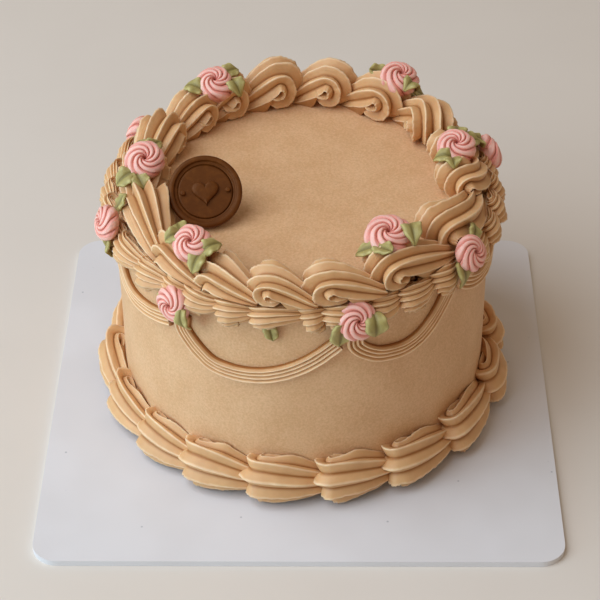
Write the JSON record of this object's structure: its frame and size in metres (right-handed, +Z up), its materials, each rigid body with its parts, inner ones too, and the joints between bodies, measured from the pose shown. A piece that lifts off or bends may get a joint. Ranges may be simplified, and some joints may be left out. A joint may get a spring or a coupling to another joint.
{
  "type": "buttercream cake on cake board",
  "caption": "Round one-tier buttercream cake with piped shell borders, swags, roses and leaves, and a chocolate seal, on a square card board.",
  "frame": {"origin": "centre of the board's underside", "axes": "+Z up from the board, -Y towards the front of the cake, +X to the front's right"},
  "size_m": [0.203, 0.203, 0.1176],
  "materials": {
    "buttercream": "smoothed caramel buttercream with a very fine canvas-like texture, satin",
    "piping": "piped caramel buttercream with ridges from a star nozzle, satin",
    "rose": "piped dusty pink buttercream, satin",
    "leaf": "piped pale olive green buttercream, satin",
    "chocolate": "moulded milk chocolate, soft gloss",
    "board": "matte white card with small grey flecks"
  },
  "bodies": {
    "root": {"cake": "buttercream", "top_border": "piping", "collar_border": "piping", "base_border": "piping", "swag_1": "piping", "swag_2": "piping", "swag_3": "piping", "swag_4": "piping", "swag_5": "piping", "swag_6": "piping", "swag_7": "piping", "swag_8": "piping", "rose_top_1": "rose", "rose_top_2": "rose", "rose_top_3": "rose", "rose_top_4": "rose", "rose_top_5": "rose", "rose_top_6": "rose", "rose_side_1": "rose", "rose_side_2": "rose", "rose_side_3": "rose", "rose_side_4": "rose", "rose_side_5": "rose", "rose_side_6": "rose", "rose_side_7": "rose", "rose_side_8": "rose", "chocolate_seal": "chocolate", "leaf_top_1_1": "leaf", "leaf_top_1_2": "leaf", "leaf_top_1_3": "leaf", "leaf_top_2_1": "leaf", "leaf_top_2_2": "leaf", "leaf_top_3_1": "leaf", "leaf_top_3_2": "leaf", "leaf_top_4_1": "leaf", "leaf_top_4_2": "leaf", "leaf_top_5_1": "leaf", "leaf_top_5_2": "leaf", "leaf_top_6_1": "leaf", "leaf_top_6_2": "leaf", "leaf_side_1_1": "leaf", "leaf_side_1_2": "leaf", "leaf_side_2_1": "leaf", "leaf_side_2_2": "leaf", "leaf_side_3_1": "leaf", "leaf_side_3_2": "leaf", "leaf_side_4_1": "leaf", "leaf_side_4_2": "leaf", "leaf_side_5_1": "leaf", "leaf_side_5_2": "leaf", "leaf_side_6_1": "leaf", "leaf_side_6_2": "leaf", "leaf_side_7_1": "leaf", "leaf_side_7_2": "leaf", "leaf_side_8_1": "leaf", "leaf_side_8_2": "leaf", "leaf_lone": "leaf", "cake_board": "board"}
  },
  "joints": []
}
